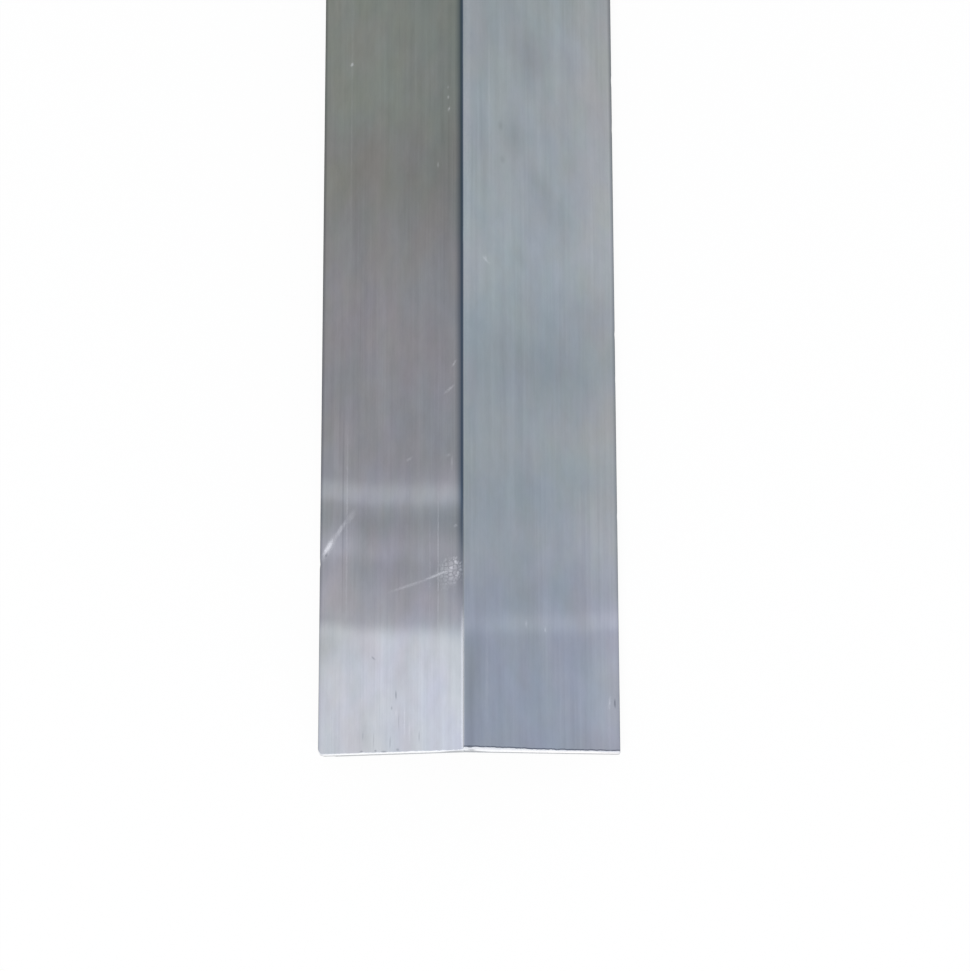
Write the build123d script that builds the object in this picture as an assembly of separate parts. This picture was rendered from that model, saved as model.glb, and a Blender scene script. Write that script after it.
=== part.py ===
from build123d import *
import os

# Equal-leg aluminium angle: one straight extruded bar of L section, sawn to length.
# It lies corner up, like a tent, with both toes on the floor.
# +Y runs along the bar, +Z is up, and the origin is on the floor under the middle of the bar.

# Driving dimensions, in millimetres
leg_width = 50.0  # outside of a leg, from the heel to the toe
wall_thickness = 3.0
bar_length = 1000.0
heel_radius = 0.6  # outside corner, where the legs meet
root_radius = 1.0  # inside corner, where the legs meet
toe_radius = 0.6  # both long edges of each toe
end_break = 0.4  # edge taken off round each sawn end

# Turn, in degrees, that brings the corner of the L to the top
corner_up_turn = -135.0


def sharp_section():
    """The L outline with its heel at the origin, one leg along X and the other along Y."""
    outside = Rectangle(leg_width, leg_width, align=Align.MIN)
    inside = Rectangle(leg_width, leg_width, align=Align.MIN)
    return outside - Pos(wall_thickness, wall_thickness) * inside


def rounded_section():
    """The L outline with its heel, root and toe corners rounded."""
    section = sharp_section()
    heel_point = Vector(0, 0)
    root_point = Vector(wall_thickness, wall_thickness)

    heel = section.vertices().sort_by_distance(heel_point)[:1]
    section = fillet(heel, heel_radius)
    root = section.vertices().sort_by_distance(root_point)[:1]
    section = fillet(root, root_radius)
    toes = section.vertices().filter_by(lambda v: max(v.X, v.Y) > leg_width - wall_thickness)
    return fillet(toes, toe_radius)


def corner_up(section):
    """The section turned so that its corner points up, and lifted until its toes touch the floor."""
    turned = Rot(0, 0, corner_up_turn) * section
    lift = -turned.bounding_box().min.Y
    return Pos(0, lift) * turned


def angle_bar():
    """The bar, extruded both ways from its middle, with the edges of both sawn ends broken."""
    section = Plane.XZ * corner_up(rounded_section())
    bar = extrude(section, amount=bar_length / 2, both=True)
    ends = bar.faces().sort_by(Axis.Y)
    end_edges = ends.first.edges() + ends.last.edges()
    return chamfer(end_edges, end_break)


os.makedirs("parts", exist_ok=True)
export_step(angle_bar(), "parts/angle_bar.step")
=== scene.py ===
import math

import bpy
import numpy as np
from mathutils import Matrix, Vector


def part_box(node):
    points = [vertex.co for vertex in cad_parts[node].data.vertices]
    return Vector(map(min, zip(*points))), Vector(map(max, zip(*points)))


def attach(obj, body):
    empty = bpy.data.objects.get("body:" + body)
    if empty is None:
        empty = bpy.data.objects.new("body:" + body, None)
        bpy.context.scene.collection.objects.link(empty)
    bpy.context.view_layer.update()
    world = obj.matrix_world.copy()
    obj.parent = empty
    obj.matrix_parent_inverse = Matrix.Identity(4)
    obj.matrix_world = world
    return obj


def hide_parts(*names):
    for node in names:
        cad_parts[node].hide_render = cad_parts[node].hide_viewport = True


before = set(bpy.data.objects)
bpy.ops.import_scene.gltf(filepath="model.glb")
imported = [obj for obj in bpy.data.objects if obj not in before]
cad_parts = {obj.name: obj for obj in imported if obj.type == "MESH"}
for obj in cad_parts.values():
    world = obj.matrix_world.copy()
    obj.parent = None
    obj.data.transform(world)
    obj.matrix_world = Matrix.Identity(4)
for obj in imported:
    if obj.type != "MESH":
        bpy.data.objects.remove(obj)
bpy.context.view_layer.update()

# An equal-leg aluminium angle in mill finish, lying corner up on a white floor.
# The chart of a leg, used all through, measures a place by its distance from the heel along the leg
# (left leg negative), its distance from the near end along the bar, and its depth in the wall.

# Sizes of the bar, in metres: its reach is the frame's, its wall and edges are those of the solid
bar_low, bar_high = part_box("angle_bar")
wall = 0.003
heel_radius = 0.0006
root_radius = 0.001
toe_radius = 0.0006
end_break = 0.0004

mm = 1000  # millimetres to the metre
root2 = math.sqrt(2)
near_end = bar_low[1]
far_end = bar_high[1]
leg_width = (bar_high[0] - toe_radius) * root2 + 2 * toe_radius
heel_height = bar_high[2] + heel_radius * (root2 - 1)  # where the two outer faces would meet

# How finely the bar is divided
heel_steps = 12
small_arc_steps = 6
outer_step = 0.00125
inner_step = 0.003
edge_step = 0.0002
shown_length = 0.19  # the stretch at the near end that the camera shows
shown_start = 0.003
shown_step = 0.001
plain_step = 0.006
end_cuts = [0.0013, 0.0016, 0.002, 0.0025]  # distances of the closest cuts from either end
last_cuts = [0.012, 0.009, 0.006, 0.004]  # and of those that lead up to the far end
end_round_steps = 5

# Unevenness of the bar
wave_height = 0.00002
wave_count = 7
wave_widths = (0.03, 0.09)  # how long the waves are across a leg, from and to
wave_lengths = (0.03, 0.16)  # and along the bar
full_wave = 0.1  # the length along the bar that stands at full height
wave_margin = 0.004  # how far from the heel and the toes they die out
inner_shift = 10  # sets the waves of the inner faces apart from those outside
shown_nicks = [(1, 0.0482, 0.0119, 0.9), (-1, 0.0496, 0.0452, 1.0)]  # side, heel distance, run, strength
nick_count = 70
nick_strengths = (0.2, 1)
first_nick = 0.02
nick_depth = 0.00014
nick_size = 0.0007
break_run = (0.00045, 0.0007)  # how far the broken edge reaches along the left and the right leg
heel_break_run = 0.00035  # how much farther it reaches beside the heel, on the right leg
heel_break_reach = 0.03  # and how far along the leg that goes on
break_unevenness = 0.00012
break_waves = (3, 7, 12, 19, 31, 47)  # waves of the unevenness round the section
cut_skew = 0.0003  # how far the saw cut runs out of square over the left leg
square_run = 0.02  # where along the bar the cuts across it are square again
corner_round = 0.0018  # the near corner of the left toe, knocked round

rng = np.random.default_rng(41)


# The shape of the bar

def section_place(side, along, depth):
    """The point (x, z) of the section at a distance along a leg and a depth in its wall."""
    return np.array([side * (along - depth) / root2, heel_height - (along + depth) / root2])


def run_shares(length, step):
    """Shares of a straight run where it is divided: close beside the rounded corners, even between them."""
    close = [edge_step, 3 * edge_step]
    inner = length - 2 * close[1]
    even = np.linspace(close[1], length - close[1], max(2, round(inner / step) + 1))
    return np.array([close[0], *even, length - close[0]]) / length


def section_outline():
    """Points (x, z) round the rounded section with their outward normals, clockwise from the heel."""
    corners = [
        (section_place(1, 0, 0), heel_radius, heel_steps, outer_step),
        (section_place(1, leg_width, 0), toe_radius, small_arc_steps, outer_step),
        (section_place(1, leg_width, wall), toe_radius, small_arc_steps, inner_step),
        (section_place(1, wall, wall), root_radius, small_arc_steps, inner_step),
        (section_place(-1, leg_width, wall), toe_radius, small_arc_steps, outer_step),
        (section_place(-1, leg_width, 0), toe_radius, small_arc_steps, outer_step),
    ]
    points, normals = [], []
    for i, (corner, radius, steps, step) in enumerate(corners):
        before = corners[i - 1][0]
        after, after_radius = corners[(i + 1) % len(corners)][:2]
        way_in = (corner - before) / np.linalg.norm(corner - before)
        way_out = (after - corner) / np.linalg.norm(after - corner)
        centre = corner + (way_out - way_in) * radius
        for turn in np.linspace(0, math.pi / 2, steps + 1):
            heading = way_in * math.cos(turn) + way_out * math.sin(turn)
            points.append(centre + radius * (way_in * math.sin(turn) - way_out * math.cos(turn)))
            normals.append((-heading[1], heading[0]))
        start = corner + way_out * radius
        length = np.linalg.norm(after - way_out * after_radius - start)
        for share in run_shares(length, step):
            points.append(start + way_out * length * share)
            normals.append((-way_out[1], way_out[0]))
    return np.array(points), np.array(normals)


def stations():
    """Distances from the near end where the bar is cut across, finest where the camera looks."""
    shown = np.arange(shown_start, shown_length, shown_step)
    length = far_end - near_end
    plain = np.linspace(shown_length, length - last_cuts[0], round((length - shown_length) / plain_step))
    last = length - np.array([*last_cuts[1:], *end_cuts[::-1]])
    return np.concatenate([end_cuts, shown, plain, last])


def face_waves(chart_along, run, edge_fade):
    """Height of the slow waves that an extruded face has."""
    height = np.zeros(np.broadcast_shapes(chart_along.shape, run.shape))
    for _ in range(wave_count):
        across_length = rng.uniform(*wave_widths)
        run_length = rng.uniform(*wave_lengths)
        phase = rng.uniform(0, 2 * math.pi)
        swing = 2 * math.pi * (chart_along / across_length + run / run_length) + phase
        height += np.sin(swing) * wave_height / math.sqrt(wave_count) * run_length / full_wave
    return height * edge_fade


def edge_nicks(along, run, side):
    """Depth of the small dents that handling leaves on the heel and the toes."""
    depth = np.zeros(np.broadcast_shapes(along.shape, run.shape))
    places = list(shown_nicks)
    for _ in range(nick_count):
        edge = rng.choice([0.0, leg_width])
        nick_side = rng.choice([-1, 1])
        nick_run = rng.uniform(first_nick, far_end - near_end)
        places.append((nick_side, edge, nick_run, rng.uniform(*nick_strengths)))
    for nick_side, nick_along, nick_run, strength in places:
        near = ((along - nick_along) / nick_size) ** 2 + ((run - nick_run) / nick_size) ** 2
        depth += nick_depth * strength * np.exp(-near) * (side == nick_side)
    return depth


def angle_bar_shape():
    """The whole bar as one closed mesh: rounded section, wavy faces, nicked edges and broken sawn ends."""
    points, normals = section_outline()
    count = len(points)
    along = (np.abs(points[:, 0]) + heel_height - points[:, 1]) / root2
    depth = (heel_height - points[:, 1] - np.abs(points[:, 0])) / root2
    side = np.where(points[:, 0] < 0, -1, 1)
    edge_fade = np.clip(np.minimum(along, leg_width - along) / wave_margin, 0, 1)

    cuts = stations()[:, None]
    wave_place = side * along + inner_shift * (depth > wall / 2)
    lift = face_waves(wave_place, cuts, edge_fade) - edge_nicks(along, cuts, side)

    turn = np.linspace(0, 2 * math.pi, count, endpoint=False)
    uneven = sum(np.sin(n * turn + rng.uniform(0, 2 * math.pi)) for n in break_waves) / 3
    beside_heel = heel_break_run * np.clip(1 - along / heel_break_reach, 0, 1)
    broken = np.where(side < 0, break_run[0], break_run[1] + beside_heel) + break_unevenness * uneven
    skew = cut_skew * np.where(side < 0, 1 - along / leg_width, 1)
    rounded = corner_round * np.clip((along - leg_width) / corner_round + 1, 0, 1) ** 2 * (side < 0)
    round_turns = np.linspace(0, math.pi / 2, end_round_steps + 1)

    def end_rings(end, inward, set_back):
        """Rings from the sawn face over its broken edge to the full section."""
        for over in round_turns:
            place = points - normals * end_break * (1 - math.sin(over))
            back = end + inward * (broken * (1 - math.cos(over)) + set_back)
            yield np.column_stack([place[:, 0], back, place[:, 1]])

    rings = list(end_rings(near_end, 1, rounded + skew))
    for cut, raised in zip(cuts[:, 0], lift):
        place = points + normals * raised[:, None]
        back = near_end + cut + (rounded + skew) * max(0, 1 - cut / square_run)
        rings.append(np.column_stack([place[:, 0], back, place[:, 1]]))
    rings.extend(reversed(list(end_rings(far_end, -1, 0))))

    vertices = np.concatenate(rings)
    k = np.arange(count)
    after = (k + 1) % count
    faces = []
    for j in range(len(rings) - 1):
        low, high = j * count, (j + 1) * count
        faces.extend(np.column_stack([low + k, low + after, high + after, high + k]).tolist())
    last = (len(rings) - 1) * count
    faces.append(k[::-1].tolist())
    faces.append((last + k).tolist())
    mesh = bpy.data.meshes.new("angle_bar_skin")
    mesh.from_pydata(vertices.tolist(), [], faces)
    mesh.shade_smooth()
    return mesh


# Shader maths

noise_turn = (0.6, 0.9, 0.4)


class Value:
    """A socket of a finish. Python's operators on it add Math nodes."""

    def __init__(self, finish, socket):
        self.finish = finish
        self.socket = socket

    def math(self, operation, *terms):
        return self.finish.node("ShaderNodeMath", {"operation": operation}, dict(enumerate(terms)))

    def __add__(self, other):
        return self.math("ADD", self, other)

    def __sub__(self, other):
        return self.math("SUBTRACT", self, other)

    def __rsub__(self, other):
        return self.math("SUBTRACT", other, self)

    def __mul__(self, other):
        return self.math("MULTIPLY", self, other)

    def __truediv__(self, other):
        return self.math("DIVIDE", self, other)

    def __abs__(self):
        return self.math("ABSOLUTE", self)

    def most(self, other):
        return self.math("MAXIMUM", self, other)

    def least(self, other):
        return self.math("MINIMUM", self, other)

    __radd__ = __add__
    __rmul__ = __mul__


class Finish:
    """The nodes of one material or of the world."""

    def __init__(self, owner):
        owner.use_nodes = True
        self.tree = owner.node_tree
        self.tree.nodes.clear()

    def node(self, kind, settings, sockets, output=0):
        """Adds a node, its settings first, then the values or links of its sockets. Gives one output."""
        made = self.tree.nodes.new(kind)
        for name, setting in settings.items():
            if name == "stops":
                self.set_stops(made.color_ramp, setting)
            else:
                setattr(made, name, setting)
        for key, value in sockets.items():
            socket = made.inputs[key]
            if isinstance(value, Value):
                self.tree.links.new(value.socket, socket)
            else:
                socket.default_value = (*value, 1) if socket.type == "RGBA" else value
        return Value(self, made.outputs[output]) if made.outputs else None

    def set_stops(self, ramp, stops):
        """Sets a ramp's stops from pairs of place and colour."""
        ramp.interpolation = "EASE"
        while len(ramp.elements) < len(stops):
            ramp.elements.new(1.0)
        for element, (place, colour) in zip(ramp.elements, stops):
            element.position = place
            element.color = (*colour, 1)

    def rise(self, value, low, high, top=1.0):
        """0 below low, the top above high, smooth between. Low may be the larger, for a fall."""
        settings = {"interpolation_type": "SMOOTHSTEP"}
        return self.node("ShaderNodeMapRange", settings, {0: value, 1: low, 2: high, 3: 0.0, 4: top})

    def times(self, vector, factors):
        """A vector or colour times another, part by part."""
        return self.node("ShaderNodeVectorMath", {"operation": "MULTIPLY"}, {0: vector, 1: factors})

    def noise(self, vector, scales, detail=2.0, roughness=0.5, distortion=0.0):
        """Noise about 0, of so many waves to the unit on each axis, turned so that no cells line up."""
        sockets = {"Vector": vector, "Scale": scales, "Rotation": noise_turn}
        turned = self.node("ShaderNodeMapping", {}, sockets)
        sockets = {"Vector": turned, "Scale": 1.0, "Detail": detail, "Roughness": roughness}
        return self.node("ShaderNodeTexNoise", {}, {**sockets, "Distortion": distortion}) - 0.5

    def shade(self, colour, tone):
        return self.node("ShaderNodeVectorMath", {"operation": "SCALE"}, {0: colour, "Scale": tone})

    def blend(self, share, colour, other):
        return self.node("ShaderNodeMix", {"data_type": "RGBA"}, {0: share, 6: colour, 7: other}, 2)

    def oval(self, chart, place, reach, turn):
        """Distance from the middle of an oval, as a share of its reach. Its turn is in degrees."""
        if turn % 90:
            rotation = (0, 0, math.radians(turn))
            placed = self.node("ShaderNodeMapping", {"vector_type": "TEXTURE"}, {
                "Vector": chart, "Location": (*place, 0), "Rotation": rotation, "Scale": (*reach, 1)})
        else:
            u, v = place
            reach_u, reach_v = reach[::-1] if turn % 180 else reach
            placed = self.node("ShaderNodeVectorMath", {"operation": "MULTIPLY_ADD"}, {
                0: chart, 1: (1 / reach_u, 1 / reach_v, 0), 2: (-u / reach_u, -v / reach_v, 0)})
        return self.node("ShaderNodeVectorMath", {"operation": "LENGTH"}, {0: placed}, "Value")

    def spots(self, chart, spots):
        """Sum of soft ovals: place, reach both ways, turn and strength of each."""
        return sum(self.rise(self.oval(chart, (u, v), (reach_u, reach_v), turn), 1.0, 0.0, strength)
                   for u, v, reach_u, reach_v, turn, strength in spots)

    def marks(self, chart, marks):
        """Strength of the strongest mark: each is a thin oval between its two ends."""
        total = None
        for u, v, end_u, end_v, half_width, strength in marks:
            middle = ((u + end_u) / 2, (v + end_v) / 2)
            reach = (math.hypot(end_u - u, end_v - v) / 2, half_width)
            turn = math.degrees(math.atan2(end_v - v, end_u - u))
            mask = self.rise(self.oval(chart, middle, reach, turn), 1.0, 0.2, strength)
            total = mask if total is None else total.most(mask)
        return total

    def pull_apart(self, vector):
        made = self.node("ShaderNodeSeparateXYZ", {}, {0: vector}).socket.node
        return [Value(self, socket) for socket in made.outputs]

    def seen_or_mirrored(self):
        """1 for what the camera sees, directly, in a mirror or through glass, and 0 for lighting."""
        rays = self.node("ShaderNodeLightPath", {}, {}).socket.node.outputs
        seen, mirrored, through = (Value(self, rays[f"Is {kind} Ray"])
                                   for kind in ("Camera", "Glossy", "Transmission"))
        return seen.most(mirrored).most(through)


# The finish of the bar: colours, and its marks in millimetres on the chart

violet_cast = (0.610, 0.606, 0.638)
green_cast = (0.588, 0.612, 0.619)
cool_tint = (0.984, 1.0, 1.024)
warm_tint = (1.016, 1.0, 0.976)
# Bright fresh metal on the broken edges of the sawn ends, partly a painted highlight
bright_cut_and_highlight = (0.95, 0.95, 0.96)
# The sawn faces: dull sawn metal, partly painted shade
sawn_face_and_shade = (0.45, 0.46, 0.47)
# Bare metal in scratches and gouges, and also the painted highlight on the heel near the near end
bared_metal_and_gleam = (0.91, 0.915, 0.97)
# Dark marks and dirt, and also the painted shade along the toes and just beyond the broken edge of the right
# leg
grime_and_shade = (0.10, 0.12, 0.15)
heel_shadow = (0.035, 0.09, 0.16)

# Relief of the skin, in metres
hair_height, streak_height = 0.000004, 0.000006
saw_height = 0.00001
gouge_depth = 0.00002

# Each mark runs from one place to another: heel distance and run of both, half width, strength
gouges = [
    (-50.6, 44.5, -42.6, 52.4, 1.70, 0.28),
    (-49.3, 46.1, -43.9, 51.2, 1.20, 0.74),
    (-45.6, 49.3, -38.8, 55.4, 0.95, 0.30),
    (-40.8, 53.2, -36.0, 57.0, 1.40, 0.15),
    (-27.0, 36.1, -9.0, 38.7, 0.50, 0.16),
    (-15.0, 37.8, 1.4, 40.9, 0.50, 0.40),
]
light_marks = [
    (-39.3, 164.9, -39.3, 166.4, 0.80, 0.45),
    (-4.9, 150.0, -4.9, 151.0, 0.45, 0.18),
    (-4.8, 147.5, -4.8, 148.7, 0.50, 0.28),
    (-5.0, 144.5, -4.2, 145.9, 0.55, 0.28),
    (-8.3, 131.9, -8.3, 133.9, 0.40, 0.25),
    (-3.9, 85.0, -1.9, 86.7, 0.40, 0.28),
    (-6.8, 79.2, -2.2, 81.2, 0.55, 0.26),
    (-3.6, 61.0, -3.6, 66.5, 0.45, 0.14),
    (-19.5, 65.6, -16.3, 66.6, 0.45, 0.16),
    (-6.0, 65.2, -3.4, 65.6, 0.55, 0.12),
    (-3.4, 49.3, -1.4, 49.6, 0.40, 0.20),
    (-39.8, 65.8, -39.8, 67.6, 0.45, 0.20),
    (-8.1, 16.0, -8.1, 68.0, 0.24, 0.28),
    (-10.8, 20.0, -10.8, 62.0, 0.22, 0.14),
    (-39.7, 20.0, -39.7, 90.0, 0.55, 0.15),
    (-39.2, 110.0, -39.2, 200.0, 0.40, 0.07),
    (-22.0, 7.5, -22.0, 11.0, 0.25, 0.30),
    (-19.2, 1.5, -19.2, 14.0, 0.25, 0.26),
    (-17.5, 1.5, -17.5, 9.0, 0.22, 0.22),
    (5.6, 111.2, 8.6, 109.3, 0.42, 0.30),
    (6.6, 110.6, 7.4, 110.9, 0.60, 0.20),
    (8.2, 126.0, 8.2, 175.0, 0.40, 0.08),
    (1.5, 45.0, 1.5, 260.0, 1.30, 0.09),
    (19.2, 27.7, 19.2, 29.9, 0.34, 0.34),
    (25.2, 26.9, 25.2, 28.8, 0.34, 0.30),
    (7.0, 1.5, 7.0, 32.0, 0.70, 0.08),
    (45.9, 9.8, 46.5, 14.3, 0.45, 0.26),
]
dark_marks = [
    # The first of these is painted shade: the shadowed side of the deep gouge
    (-47.9, 46.4, -46.7, 47.3, 0.55, 0.40),
    (-34.6, 0.95, -33.2, 0.9, 0.35, 0.35),
    (-29.6, 1.0, -28.4, 1.0, 0.40, 0.35),
    (-27.6, 0.8, -24.6, 0.75, 0.30, 0.45),
    (-22.2, 1.2, -20.6, 1.1, 0.45, 0.30),
    (0.8, 1.5, 3.0, 1.4, 0.40, 0.60),
    (0.8, 0.85, 4.2, 0.75, 0.24, 0.45),
    (-22.0, 11.9, -22.1, 14.6, 0.40, 0.40),
    (-23.5, 9.8, -23.5, 11.0, 0.40, 0.30),
    (-21.2, 5.0, -21.0, 9.8, 0.24, 0.22),
    (-14.3, 2.2, -14.2, 5.5, 0.28, 0.28),
    (-33.6, 3.0, -33.4, 5.8, 0.40, 0.18),
    (-29.8, 0.8, -29.6, 6.0, 0.24, 0.22),
    (-24.1, 0.8, -23.9, 4.8, 0.34, 0.26),
    (-30.9, 22.4, -29.0, 21.3, 0.35, 0.32),
    (-41.2, 25.0, -41.2, 92.0, 0.55, 0.19),
    (5.6, 128.0, 5.6, 158.0, 0.80, 0.08),
    (48.1, 10.5, 48.0, 13.5, 0.45, 0.50),
]
# Smudges of handling: place, reach both ways, turn in degrees, strength
smudges = [
    (2.1, 8.0, 2.6, 26.0, 0, 0.15),
    (4.6, 23.0, 5.5, 16.0, 0, 0.10),
    (21.0, 162.0, 9.0, 12.0, 0, 0.12),
    (16.0, 141.0, 6.0, 8.0, 0, 0.11),
    (27.0, 128.0, 6.0, 15.0, 40, 0.12),
    (42.0, 104.0, 14.0, 9.0, 0, 0.07),
    (17.5, 113.0, 3.5, 4.5, 30, 0.06),
    (11.8, 143.0, 1.2, 1.8, 0, 0.10),
    (12.4, 135.0, 1.2, 1.4, 0, 0.10),
    (25.0, 88.0, 22.0, 10.0, -10, 0.05),
    (38.0, 30.0, 9.0, 16.0, 0, 0.04),
    (45.5, 8.0, 5.0, 12.0, 0, -0.06),
    (-33.5, 4.5, 4.0, 5.0, 20, 0.06),
]
# The scuff and where it was pressed hardest: place, reach both ways, turn
scuff = (-4.3, 39.2), (4.6, 3.8), 30
scuff_heart = (-2.4, 41.0), (6.5, 6.0), 0
scuff_cell_rate = (0.68, 1.1, 1)  # cells to the millimetre
scuff_haze, scuff_fleck, scuff_light, scuff_gap = 0.22, 0.7, 0.62, 0.34

# Painted shade and highlights along the edges and at the ends: where each begins and is full, in millimetres,
# and how strong it is
outer_depth = (1.0, 0.5)  # marks lie on the outer faces only
shade_run = (21.0, 58.0)
heel_line_left, heel_line_right, heel_line_dark = (-1.05, -0.65), (0.42, -0.06), 0.84
heel_side_reach, heel_side_dark = (-2.9, -0.2), 0.74
gleam_left, gleam_reach, gleam_run, gleam_light = (0.5, 0.05), (0.8, 0.4), (33.0, 26.0), 0.5
toe_reach, toe_dark, toe_shade = (1.8, 0.6), 0.22, 0.22  # measured in from the toe
bright_toe_run, bright_toe = (150.0, 60.0), 0.14  # where the right toe is less dark
broken_gap, right_broken = (0.62, 0.45), 0.25
end_line_gap, end_line_dark = (0.9, 0.66), 0.85
sawn_gap, sawn_heel_shade_reach, sawn_heel_shade = (0.22, 0.08), (9.0, 2.0), 0.2


def scuff_cells(finish, chart, grain):
    """Light flecks and the dark mesh between them, where something rough was pressed into the left leg."""
    patch = finish.rise(finish.oval(chart, *scuff) + grain * 2.0, 1.0, 0.55)
    settings = {"voronoi_dimensions": "2D", "feature": "DISTANCE_TO_EDGE"}
    sockets = {"Vector": finish.times(chart, scuff_cell_rate), "Scale": 1.0, "Randomness": 0.8}
    to_edge = finish.node("ShaderNodeTexVoronoi", settings, sockets, "Distance")
    cell = finish.node("ShaderNodeTexVoronoi", {"voronoi_dimensions": "2D"}, sockets, "Color")
    share = finish.pull_apart(cell)[0]
    pressed = finish.rise(share, -0.2, 0.9) * finish.rise(finish.oval(chart, *scuff_heart), 1.1, 0.1)
    flecks = finish.rise(to_edge, 0.0, 0.24) * pressed
    gaps = finish.rise(to_edge, 0.11, 0.01) * finish.rise(share, 0.9, 0.2)
    return (scuff_haze + flecks * scuff_fleck) * patch, gaps * patch


def mill_finish():
    """As-extruded aluminium: die lines along the bar, a cloudy skin, handling marks and sawn ends whose bright
    broken edges are partly a painted highlight, with painted shade along the heel and toes and a painted
    highlight on the heel near the near end.
    """
    material = bpy.data.materials.new("mill_finish")
    finish = Finish(material)
    place = finish.node("ShaderNodeTexCoord", {}, {}, "Object")
    x, y, z = finish.pull_apart(place)
    drop = heel_height - z
    along = (abs(x) + drop) * (mm / root2)
    depth = (drop - abs(x)) * (mm / root2)
    run = (y - near_end) * mm
    toe = leg_width * mm
    on_right = finish.rise(x, -0.0001, 0.0001)
    from_heel = along * (on_right * 2 - 1)
    chart = finish.node("ShaderNodeCombineXYZ", {}, {0: from_heel, 1: run, 2: depth})
    flat_chart = finish.times(chart, (1, 1, 0))
    outside = finish.rise(depth, *outer_depth)
    skew = (from_heel.least(0) / toe + 1) * (cut_skew * mm)
    knocked = ((along - toe) / (corner_round * mm) + 1).most(0) * (1 - on_right)
    set_back = skew + knocked * knocked * (corner_round * mm)
    end_gap = (far_end - abs(y)) * mm - set_back * finish.rise(y, 0.0, -0.01)

    # Noises of the skin: waves to the millimetre along the leg, along the bar and in depth
    bands = finish.noise(chart, (0.13, 0.0025, 0.3), 4.0, 0.6)
    clusters = finish.rise(finish.noise(chart, (0.12, 0.025, 0.1)), -0.14, 0.16)
    streaks = finish.noise(chart, (0.55, 0.012, 0.4), 4.0, 0.55)
    short_streaks = finish.noise(chart, (0.9, 0.06, 0.7), 3.0, 0.6)
    hair_lines = finish.noise(chart, (4.0, 0.03, 2.0), 2.0)
    blotches = finish.noise(chart, (0.26, 0.16, 0.3), 4.0, 0.6)
    clouds = finish.noise(chart, (0.06, 0.045, 0.1), 5.0, 0.55, 0.6)
    casts = finish.noise(chart, (0.12, 0.07, 0.2), 4.0)
    warmth = finish.noise(chart, (0.1, 0.08, 0.3), 4.0)
    grain = finish.noise(chart, (2.2, 1.6, 2.0), 3.0)

    flecks, gaps = scuff_cells(finish, flat_chart, grain)
    dug = finish.marks(flat_chart, gouges) * outside
    gouged = dug.most(flecks * scuff_light * outside)
    light = finish.marks(flat_chart, light_marks) * finish.rise(grain, -0.3, 0.05) * outside
    light = light.most(gouged * (1 + grain))
    dark = finish.marks(flat_chart, dark_marks).most(gaps * scuff_gap) * outside
    smudged = finish.spots(flat_chart, smudges) * (1 + clouds * 2) * outside

    # Painted shade along the heel, beside it on the left leg and along the toes, stronger up the bar, and a
    # painted highlight on the heel near the near end
    in_shade = finish.rise(run, *shade_run)
    heel_line = finish.rise(from_heel, *heel_line_left) * finish.rise(from_heel, *heel_line_right)
    heel_line = heel_line * in_shade * heel_line_dark
    heel_side = finish.rise(from_heel, *heel_side_reach) * (1 - on_right) * in_shade * heel_side_dark
    heel_gleam = finish.rise(from_heel, *gleam_left) * finish.rise(along, *gleam_reach)
    heel_gleam = heel_gleam * finish.rise(run, *gleam_run) * gleam_light
    darkness = toe_dark + in_shade * toe_shade - on_right * finish.rise(run, *bright_toe_run, bright_toe)
    toe_line = finish.rise(along, toe - toe_reach[0], toe - toe_reach[1]) * darkness
    # The broken edges of the ends are bright fresh metal, partly a painted highlight, and just beyond them on
    # the right leg runs a painted shade line
    ragged = finish.noise(finish.times(chart, (1, 0, 1)), (0.7, 0.0, 0.7), 3.0) * 0.4
    heel_break = finish.rise(from_heel, heel_break_reach * mm, 2.0) * on_right * (heel_break_run * mm)
    break_gap = end_gap - heel_break - on_right * right_broken + ragged
    broken_edge = finish.rise(break_gap, *broken_gap)
    end_line = finish.rise(break_gap, *end_line_gap) * on_right
    end_line = end_line * finish.rise(grain, -0.35, -0.05) * end_line_dark
    # The sawn faces, partly painted shade, reach farther onto the broken edge beside the heel
    sawn = finish.rise(end_gap - finish.rise(along, *sawn_heel_shade_reach) * sawn_heel_shade, *sawn_gap)

    lines = (streaks * 0.27 + hair_lines * (0.12 - on_right * 0.07)) * (0.25 + clusters * 0.9)
    tone = 1 + bands * 0.2 + lines + short_streaks * 0.1 + blotches * (0.22 - on_right * 0.06) + clouds * 0.15
    metal = finish.blend(finish.rise(casts, -0.2, 0.2), violet_cast, green_cast)
    tint = finish.blend(finish.rise(warmth, -0.2, 0.2), cool_tint, warm_tint)
    # Light marks of bare metal together with the painted highlight on the heel
    bared_and_gleam = light.most(heel_gleam * outside)
    colour = finish.shade(finish.times(metal, tint), tone * (1 - smudged))
    colour = finish.blend(bared_and_gleam, colour, bared_metal_and_gleam)
    colour = finish.blend(end_line.most(toe_line) * outside, colour, grime_and_shade)
    colour = finish.blend(heel_line.most(heel_side) * outside, colour, heel_shadow)
    colour = finish.blend(broken_edge, colour, bright_cut_and_highlight)
    colour = finish.blend(dark, colour, grime_and_shade)
    colour = finish.blend(sawn, colour, sawn_face_and_shade)
    roughness = 0.13 + clouds * 0.08 + light * 0.3 + broken_edge * 0.2 + sawn * 0.2
    metallic = 1 - bared_and_gleam * 0.7 - broken_edge * 0.4

    die_relief = hair_lines * hair_height + streaks * streak_height
    saw_marks = finish.noise(place, (150.0, 10.0, 2600.0)) * sawn * saw_height
    relief = die_relief + saw_marks - dug * gouge_depth
    normal = finish.node("ShaderNodeBump", {}, {"Strength": 1.0, "Distance": 1.0, "Height": relief})
    shader = finish.node("ShaderNodeBsdfPrincipled", {}, {
        "Base Color": colour, "Metallic": metallic, "Roughness": roughness, "Normal": normal})
    finish.node("ShaderNodeOutputMaterial", {}, {"Surface": shader})
    return material


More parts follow.
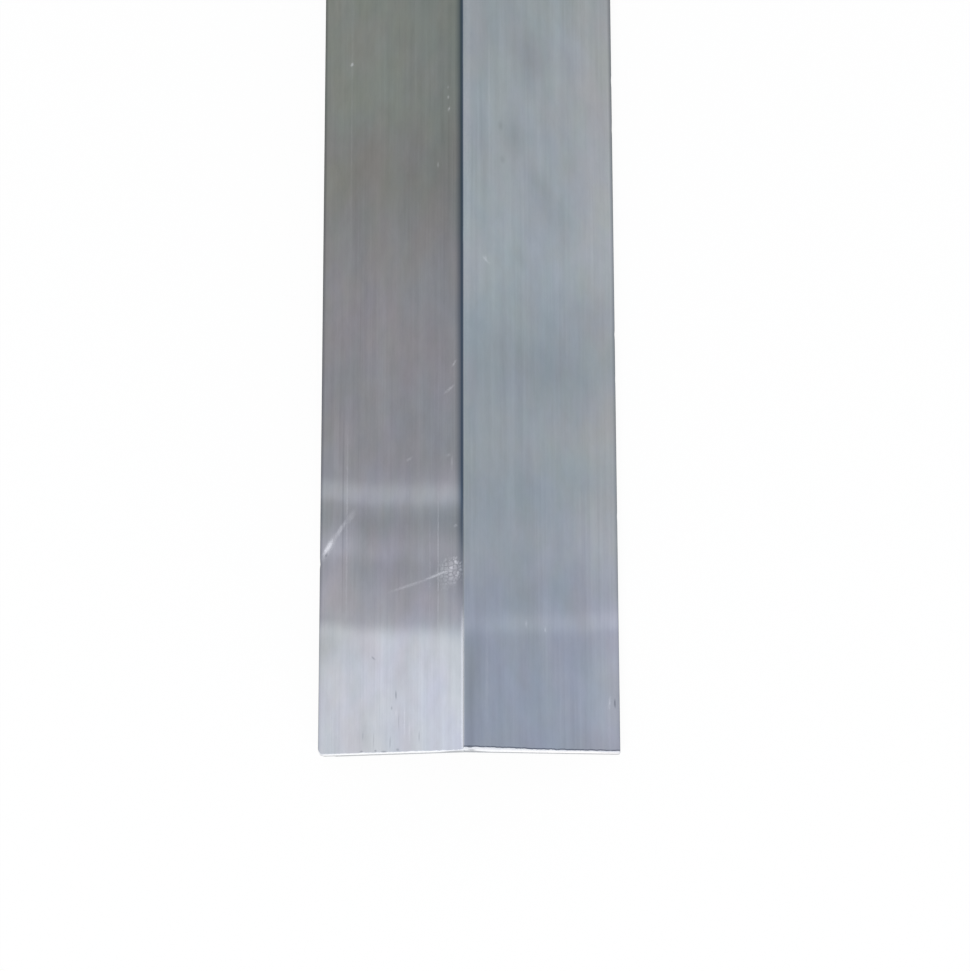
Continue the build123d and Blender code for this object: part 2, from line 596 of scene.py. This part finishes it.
# The studio: floor, world, lamps, boards that the legs mirror, and the camera

camera_place = (0.01494, -0.50784, 0.45279)
camera_tilt, camera_swing, camera_roll = (math.radians(a) for a in (8.991, 1.442, -0.378))
camera_lens = 71.41

board_foot = 0.0353
board_shade = 0.0065  # how far the shade of the bar reaches over the foot of a board
board_wall = 0.055
board_cove = 0.012
board_top = 0.4
board_lift = 0.0002
board_overhang = 0.6  # how far the boards stand out past both ends of the bar

# Colours that the left and right legs mirror, from the near end up the bar, by distance in millimetres
left_tones = [
    (0, (0.88, 0.90, 0.98)),
    (26, (0.87, 0.89, 0.96)),
    (30, (0.56, 0.56, 0.62)),
    (33.4, (0.52, 0.51, 0.56)),
    (42.3, (0.43, 0.43, 0.47)),
    (45.5, (0.49, 0.49, 0.54)),
    (53, (0.39, 0.40, 0.43)),
    (55.4, (0.42, 0.43, 0.46)),
    (58, (0.56, 0.57, 0.62)),
    (59.4, (0.56, 0.57, 0.61)),
    (62.7, (0.43, 0.43, 0.47)),
    (68, (0.40, 0.40, 0.43)),
    (98, (0.40, 0.39, 0.41)),
    (138, (0.33, 0.33, 0.31)),
    (152, (0.33, 0.35, 0.32)),
    (190, (0.33, 0.35, 0.31)),
]
right_tones = [
    (0, (0.47, 0.52, 0.63)),
    (9, (0.48, 0.54, 0.65)),
    (26.2, (0.47, 0.52, 0.62)),
    (28.6, (0.55, 0.61, 0.71)),
    (29.7, (0.55, 0.60, 0.70)),
    (32.8, (0.47, 0.52, 0.61)),
    (36, (0.46, 0.51, 0.59)),
    (48, (0.49, 0.54, 0.60)),
    (59, (0.46, 0.52, 0.57)),
    (70, (0.49, 0.54, 0.57)),
    (87, (0.44, 0.50, 0.55)),
    (115, (0.53, 0.59, 0.63)),
    (150, (0.51, 0.56, 0.59)),
    (190, (0.47, 0.52, 0.54)),
]
far_tone = (0.70, 0.72, 0.74)
upper_tone = (0.58, 0.60, 0.63)
# Casts over the tones at the foot of each board, and at the height of the heel
left_casts = [(0.03, (1.02, 1.02, 1.0)), (0.4, (1, 1, 1)), (0.95, (0.98, 1.0, 1.02))]
right_casts = [(0.03, (1.18, 1.11, 1.07)), (0.44, (1, 1, 1)), (0.95, (1, 1, 1))]
# The tones fan out from a line before the near end: its distance, how wide they lie there against those on the
# leg, and how much wider for each metre out
fan_start, fan_width, fan_growth = -0.00784, 0.9571, 2.3032
# How far the tones lean up the bar at the foot of each board, and from which height down
left_lean, right_lean = 0.0012, 0.0006
lean_heights = (0.012, 0.002)
# Where the tones pass into those past the shown stretch, before the near end and overhead
far_blend = (shown_length, 0.7)
fore_blend = (-0.05, -0.3)
upper_blend = (0.05, 0.25)
# The white strip before the near end that its broken edge mirrors: both its bounds along the bar, and its top
strip_start, strip_stop, strip_top = (-0.0035, -0.006), (-0.06, -0.03), (0.048, 0.04)
white = (1, 1, 1)
foot_light = 0.3  # what is left of the light at the foot of a board
# Patches of light and shade on the boards: run, height, reach both ways, turn, strength
left_patches = [
    (43, 2, 21, 14, 0, 0.21),
    (24, 2, 8, 12, 0, -0.14),
    (14, 1, 9, 8, 0, -0.04),
    (69, 2, 12, 12, 0, 0.09),
    (60, 34, 8, 16, 0, 0.10),
    (8, 37, 24, 20, 0, 0.11),
    (160, 38, 100, 24, 0, -0.10),
]
right_patches = [
    (8, 38, 26, 18, 0, -0.06),
    (40, 1, 50, 12, 0, 0.07),
    (160, 1, 50, 8, 0, -0.07),
    (20, 1, 8, 10, 0, 0.05),
]

# Floor, and world where it is seen and where it only lights
floor_reach = 8.0
floor_paint = (0.9, 0.9, 0.9)
floor_own_white = 0.93
horizon_rise, overhead = (0.15, 0.95), (0.28, 0.30, 0.33)
room_light = (0.75, 0.76, 0.78)


def board_finish(name, tones, patches, casts, lean):
    """A board that glows in tones, laid so that each lies level across its leg as the photo shows it."""
    material = bpy.data.materials.new(name)
    finish = Finish(material)
    x, y, z = finish.pull_apart(finish.node("ShaderNodeTexCoord", {}, {}, "Object"))
    fan = abs(x) * fan_growth + fan_width
    run = (y - (near_end + fan_start)) / fan + fan_start - finish.rise(z, *lean_heights, lean)
    stops = [(run_mm / mm / shown_length, tone) for run_mm, tone in tones]
    tone = finish.node("ShaderNodeValToRGB", {"stops": stops}, {0: run / shown_length})
    tone = finish.blend(finish.rise(run, *far_blend), tone, far_tone)
    tone = finish.blend(finish.rise(run, *fore_blend), tone, far_tone)
    tone = finish.blend(finish.rise(z, *upper_blend), tone, upper_tone)
    strip = finish.rise(run, *strip_start) * finish.rise(run, *strip_stop) * finish.rise(z, *strip_top)
    tone = finish.blend(strip, tone, white)
    cast = finish.node("ShaderNodeValToRGB", {"stops": casts}, {0: z / heel_height})
    chart = finish.node("ShaderNodeCombineXYZ", {}, {0: run * mm, 1: z * mm})
    foot_shade = foot_light + finish.rise(abs(x), board_foot, board_foot + board_shade) * (1 - foot_light)
    tone = finish.shade(finish.times(tone, cast), foot_shade * (1 + finish.spots(chart, patches)))
    glow = finish.node("ShaderNodeEmission", {}, {"Color": tone, "Strength": 1.0})
    finish.node("ShaderNodeOutputMaterial", {}, {"Surface": glow})
    return material


def bounce_board(name, side, tones, patches, casts, lean):
    """A coved board beside the bar that only mirror rays see."""
    profile = [(board_foot, board_lift)]
    for turn in np.linspace(0, math.pi / 2, 9):
        out, up = 1 - math.sin(turn), 1 - math.cos(turn)
        profile.append((board_wall - board_cove * out, board_lift + board_cove * up))
    profile.append((board_wall, board_top))
    ends = (near_end - board_overhang, far_end + board_overhang)
    vertices = [(side * x, y, z) for y in ends for x, z in profile]
    count = len(profile)
    faces = [(i, i + 1, i + 1 + count, i + count) for i in range(count - 1)]
    mesh = bpy.data.meshes.new(name)
    mesh.from_pydata(vertices, [], faces)
    mesh.materials.append(board_finish(name, tones, patches, casts, lean))
    board = bpy.data.objects.new(name, mesh)
    bpy.context.collection.objects.link(board)
    for ray in ("camera", "diffuse", "transmission", "volume_scatter", "shadow"):
        setattr(board, f"visible_{ray}", False)


def studio_floor():
    """A white floor: mostly its own white where it is seen, with a share of real shading for the shadow."""
    mesh = bpy.data.meshes.new("floor")
    corners = [(x * floor_reach, y * floor_reach, 0) for x, y in ((-1, -1), (1, -1), (1, 1), (-1, 1))]
    mesh.from_pydata(corners, [], [(0, 1, 2, 3)])
    material = bpy.data.materials.new("floor_white")
    finish = Finish(material)
    shaded = finish.node("ShaderNodeBsdfDiffuse", {}, {"Color": floor_paint})
    own_white = finish.node("ShaderNodeEmission", {}, {"Color": white, "Strength": 1.0})
    share = finish.seen_or_mirrored() * floor_own_white
    surface = finish.node("ShaderNodeMixShader", {}, {0: share, 1: shaded, 2: own_white})
    finish.node("ShaderNodeOutputMaterial", {}, {"Surface": surface})
    mesh.materials.append(material)
    floor = bpy.data.objects.new("floor", mesh)
    bpy.context.collection.objects.link(floor)


def studio_world():
    """White round the horizon and grey overhead where it is seen or mirrored, and even light otherwise."""
    world = bpy.data.worlds.new("studio")
    bpy.context.scene.world = world
    finish = Finish(world)
    heading = finish.node("ShaderNodeTexCoord", {}, {}, "Generated")
    up = finish.pull_apart(heading)[2]
    seen = finish.blend(finish.rise(up, *horizon_rise), white, overhead)
    colour = finish.blend(finish.seen_or_mirrored(), room_light, seen)
    background = finish.node("ShaderNodeBackground", {}, {"Color": colour, "Strength": 1.0})
    finish.node("ShaderNodeOutputWorld", {}, {"Surface": background})


def lamp(name, place, size, watts):
    """A square soft lamp that faces the middle of the near end."""
    data = bpy.data.lights.new(name, "AREA")
    data.size = size
    data.energy = watts
    light = bpy.data.objects.new(name, data)
    aim = Vector((0, near_end, 0)) - Vector(place)
    light.matrix_world = Matrix.Translation(place) @ aim.to_track_quat("-Z", "Y").to_matrix().to_4x4()
    light.visible_camera = False
    bpy.context.collection.objects.link(light)


def photo_camera():
    """The camera at the viewpoint of the photograph."""
    data = bpy.data.cameras.new("camera")
    data.lens = camera_lens
    data.sensor_width = 36
    data.clip_start = 0.01
    camera = bpy.data.objects.new("camera", data)
    turns = Matrix.Rotation(camera_roll, 4, "Z") @ Matrix.Rotation(camera_tilt, 4, "X")
    camera.matrix_world = Matrix.Translation(camera_place) @ turns @ Matrix.Rotation(camera_swing, 4, "Y")
    bpy.context.collection.objects.link(camera)
    bpy.context.scene.camera = camera


bpy.context.scene.view_settings.view_transform = "Standard"
photo_camera()
studio_floor()
studio_world()
lamp("key_lamp", (-0.9, -1.9, 1.5), 0.9, 18)
lamp("fill_lamp", (1.2, -1.6, 1.0), 0.9, 8)
bounce_board("left_board", -1, left_tones, left_patches, left_casts, left_lean)
bounce_board("right_board", 1, right_tones, right_patches, right_casts, right_lean)

bar_mesh = angle_bar_shape()
bar_mesh.materials.append(mill_finish())
bar = bpy.data.objects.new("angle_bar_skin", bar_mesh)
bpy.context.collection.objects.link(bar)
even_normals = bar.modifiers.new("even_normals", "WEIGHTED_NORMAL")
even_normals.mode = "FACE_AREA"
even_normals.weight = 80
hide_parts("angle_bar")
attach(bar, "root")
